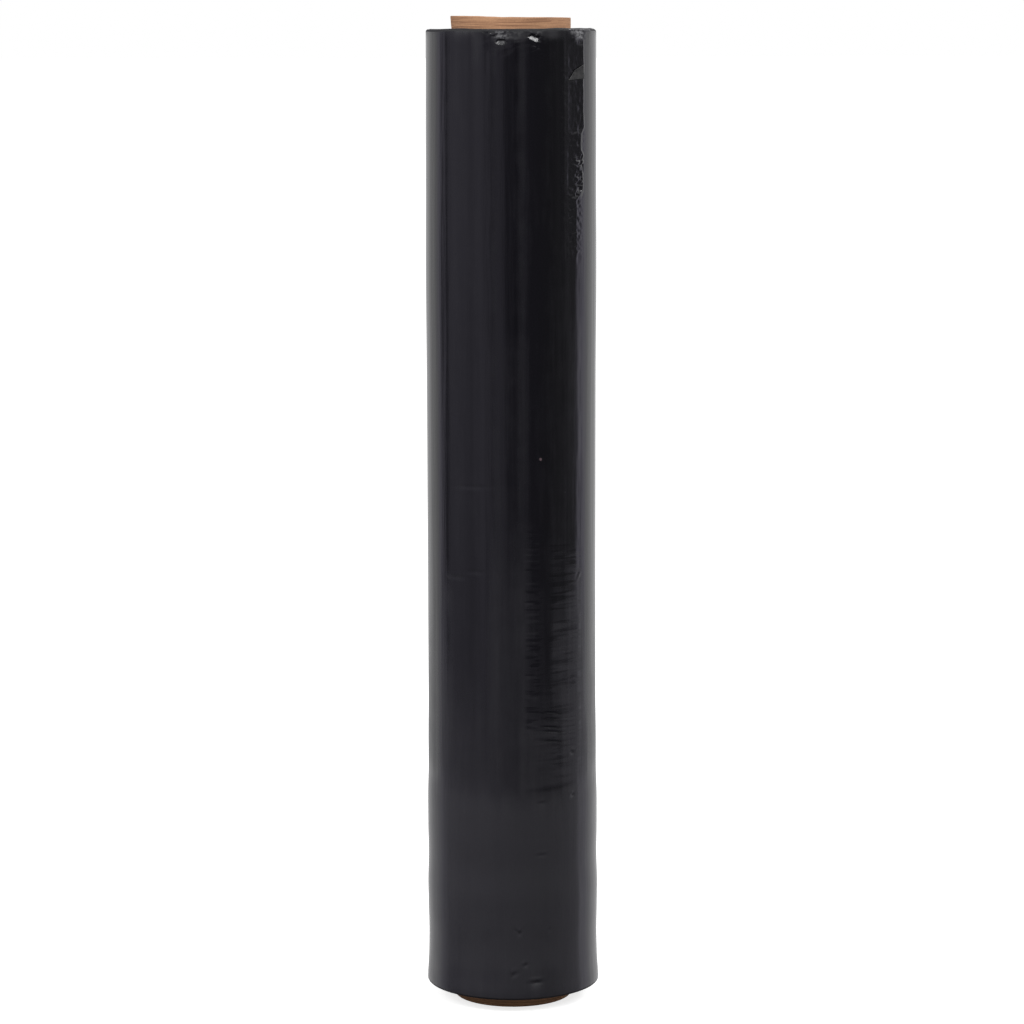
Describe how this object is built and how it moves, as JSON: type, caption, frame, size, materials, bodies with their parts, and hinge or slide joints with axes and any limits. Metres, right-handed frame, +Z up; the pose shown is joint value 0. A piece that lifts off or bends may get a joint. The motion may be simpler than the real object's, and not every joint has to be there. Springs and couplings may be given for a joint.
{
  "type": "stretch wrap roll",
  "caption": "Full hand roll of black stretch film wound on a paperboard core that stands out at both ends, standing on end.",
  "frame": {"origin": "centre of the core's lower end face, which the roll stands on", "axes": "+Z up along the core's axis, -Y is the front that the picture shows, +X its right-hand side"},
  "size_m": [0.0908, 0.0908, 0.514],
  "materials": {
    "core_paperboard": "matt wound kraft paperboard, cut ends a little fuzzy",
    "black_film": "black cling film, glossy with fine upright streaks and short tension creases"
  },
  "bodies": {
    "root": {"core": "core_paperboard", "film": "black_film"}
  },
  "joints": []
}
